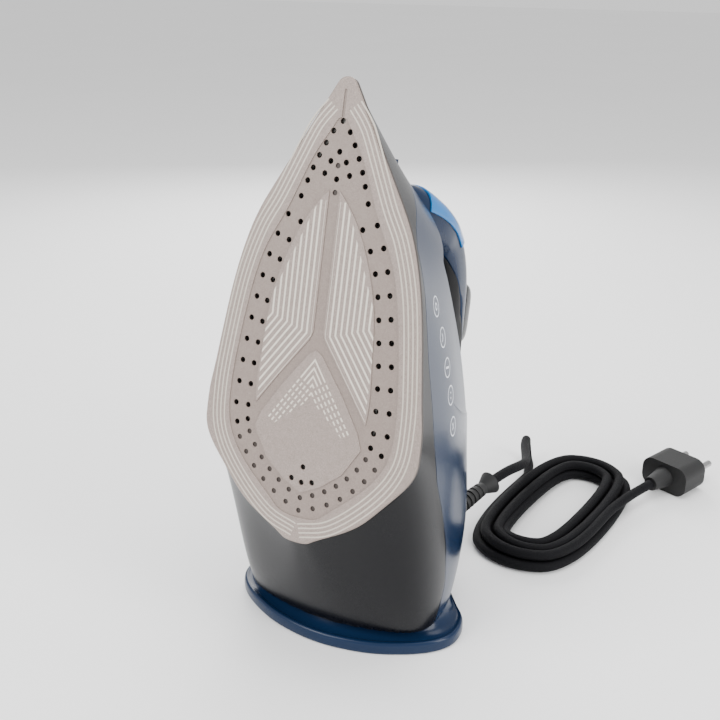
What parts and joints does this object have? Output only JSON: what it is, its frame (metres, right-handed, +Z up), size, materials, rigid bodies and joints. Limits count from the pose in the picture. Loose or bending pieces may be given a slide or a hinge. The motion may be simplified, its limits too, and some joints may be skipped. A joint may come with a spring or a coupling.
{
  "type": "clothes iron",
  "caption": "Steam iron standing on its heel: perforated soleplate, dark housing with a water tank, bridge handle with buttons, and a coiled mains cord.",
  "frame": {"origin": "middle of the heel rest's underside, on the surface the iron stands on", "axes": "+Z up, the soleplate faces -Y and leans back, +X to the right seen from the soleplate"},
  "size_m": [0.2339, 0.3278, 0.3053],
  "materials": {
    "sole_coating": "taupe ceramic coating with a fine speckle",
    "casting": "as cast",
    "steel_fittings": "bright",
    "silicone": "matt silicone",
    "black_gloss": "moulded, gloss",
    "blue_gloss": "moulded, gloss navy",
    "light_blue": "translucent light blue",
    "tank_clear": "translucent",
    "black_soft": "fine texture",
    "white_parts": "plain moulded",
    "cord_braid": "black textile braid",
    "cord_rubber": "matt"
  },
  "bodies": {
    "root": {"soleplate": "sole_coating", "steam_chamber": "casting", "chamber_lid": "steel_fittings", "chamber_seal": "silicone", "chamber_screws": "steel_fittings", "heating_element": "steel_fittings", "thermostat": "white_parts", "thermal_fuse": "white_parts", "lower_shell": "black_gloss", "heat_shield": "black_soft", "body_shell": "blue_gloss", "spray_nozzle": "light_blue", "water_tank": "tank_clear", "filler_neck": "silicone", "valve_seat": "silicone", "handle_cover": "blue_gloss", "handle_grip": "black_soft", "inlet_pin": "steel_fittings", "button_housing": "black_gloss", "steam_pump": "white_parts", "spray_pump": "white_parts", "heel_rest": "blue_gloss", "terminal_block": "white_parts", "cord_socket": "black_soft", "cord_coil": "cord_braid", "cord_lead": "cord_braid", "cord_tail": "cord_braid", "plug_body": "cord_rubber", "plug_pins": "steel_fittings"},
    "dial": {"temperature_dial": "black_soft", "dial_spindle": "white_parts"},
    "inlet_flap": {"inlet_cover": "light_blue"},
    "steam_key": {"steam_button": "black_soft"},
    "spray_key": {"spray_button": "black_soft"},
    "slider": {"steam_slider": "black_gloss"},
    "valve": {"valve_rod": "white_parts"},
    "swivel": {"cord_guard": "cord_rubber"}
  },
  "joints": [
    {"name": "dial_turn", "type": "hinge", "parent": "root", "child": "dial", "pos_m": [0, 0.03109, 0.14566], "axis": [0, 0.9659, -0.2588], "range_deg": [0, 270]},
    {"name": "inlet_hinge", "type": "hinge", "parent": "root", "child": "inlet_flap", "pos_m": [0, 0.10785, 0.1957], "axis": [-1, 0, 0], "range_deg": [0, 75]},
    {"name": "steam_press", "type": "slide", "parent": "root", "child": "steam_key", "axis": [0, 0.9659, -0.2588], "range_m": [-0.003, 0], "stiffness_N_per_m": 800},
    {"name": "spray_press", "type": "slide", "parent": "root", "child": "spray_key", "axis": [0, 0.9659, -0.2588], "range_m": [-0.003, 0], "stiffness_N_per_m": 800},
    {"name": "steam_slide", "type": "slide", "parent": "root", "child": "slider", "axis": [0, 0.275, -0.9614], "range_m": [0, 0.005]},
    {"name": "valve_lift", "type": "slide", "parent": "root", "child": "valve", "axis": [0, 0.9659, -0.2588], "range_m": [0, 0.002]},
    {"name": "guard_swivel", "type": "hinge", "parent": "root", "child": "swivel", "pos_m": [0.027, 0.052, 0.0286], "axis": [0.305, 0.94, 0.153], "range_deg": [-170, 170]}
  ],
  "couplings": [
    {"joint": "valve_lift", "follows": "steam_slide", "ratio": 0.4}
  ]
}
